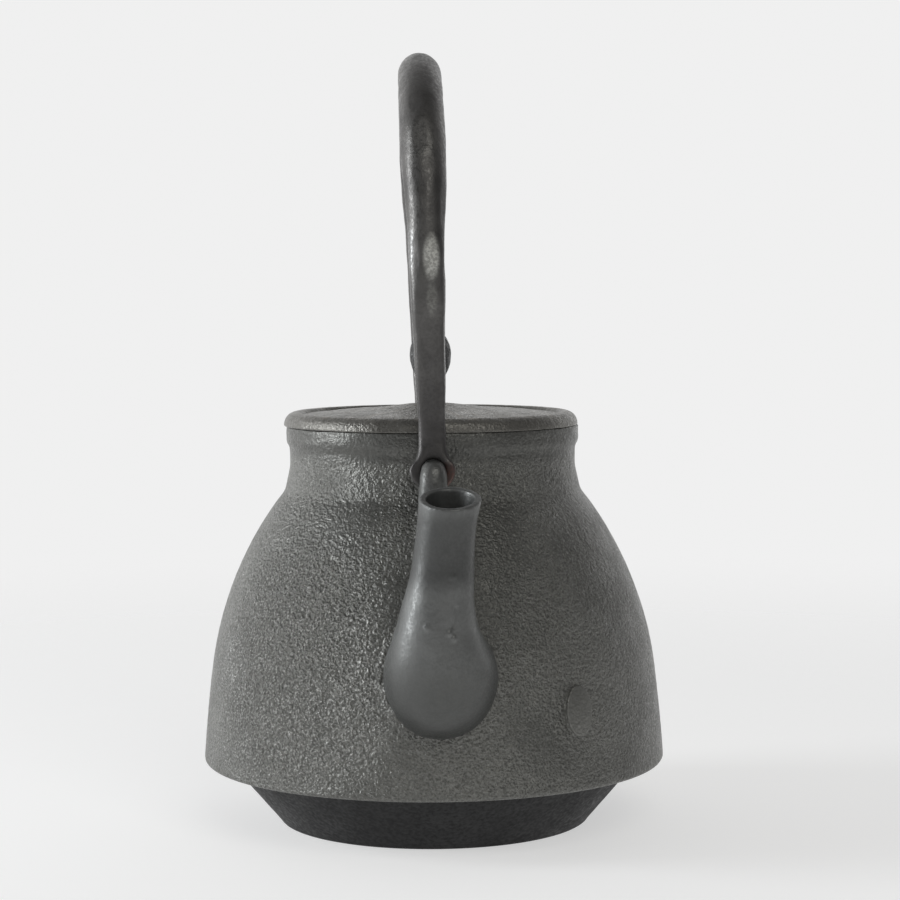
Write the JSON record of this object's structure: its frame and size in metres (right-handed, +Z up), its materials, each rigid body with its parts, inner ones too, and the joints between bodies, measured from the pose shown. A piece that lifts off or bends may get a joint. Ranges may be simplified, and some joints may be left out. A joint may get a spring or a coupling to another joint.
{
  "type": "cast iron kettle",
  "caption": "Cast iron water kettle with a rough bell-shaped shell, cannon spout, lift-off lid with a bud knob, and a hollow hoop handle that swings sideways on two lugs.",
  "frame": {"origin": "centre of the flat foot that the kettle stands on", "axes": "+Z up; the spout points along -Y; the handle's hoop stands close to the YZ plane and swings about an axis close to Y"},
  "size_m": [0.1512, 0.1747, 0.2508],
  "materials": {
    "rough_iron": "sand-cast skin, lacquered grey-black",
    "fired_iron": "dark fired matte",
    "smooth_iron": "smooth satin",
    "lid_iron": "satin with fine radial streaks",
    "knob_iron": "pitted satin",
    "handle_iron": "hammered, oiled, semi-gloss"
  },
  "bodies": {
    "kettle": {"kettle_shell": "rough_iron", "base_pan": "fired_iron", "spout": "smooth_iron", "front_lug": "smooth_iron", "rear_lug": "smooth_iron"},
    "lid": {"lid_plate": "lid_iron", "knob_seat": "lid_iron", "rivet_washer": "lid_iron"},
    "knob": {"knob": "knob_iron"},
    "handle": {"handle_hoop": "handle_iron", "front_fork": "handle_iron", "rear_fork": "handle_iron"}
  },
  "joints": [
    {"name": "handle_swing", "type": "hinge", "parent": "kettle", "child": "handle", "pos_m": [-0.0006, 0, 0.119], "axis": [-0.014, 0.9999, 0], "range_deg": [-93.5, 96.5]},
    {"name": "lid_lift", "type": "slide", "parent": "kettle", "child": "lid", "axis": [0, 0, 1], "range_m": [0, 0.05]},
    {"name": "knob_turn", "type": "hinge", "parent": "lid", "child": "knob", "pos_m": [-0.0005, 0, 0.1377], "axis": [0, 0, 1], "continuous": true}
  ]
}
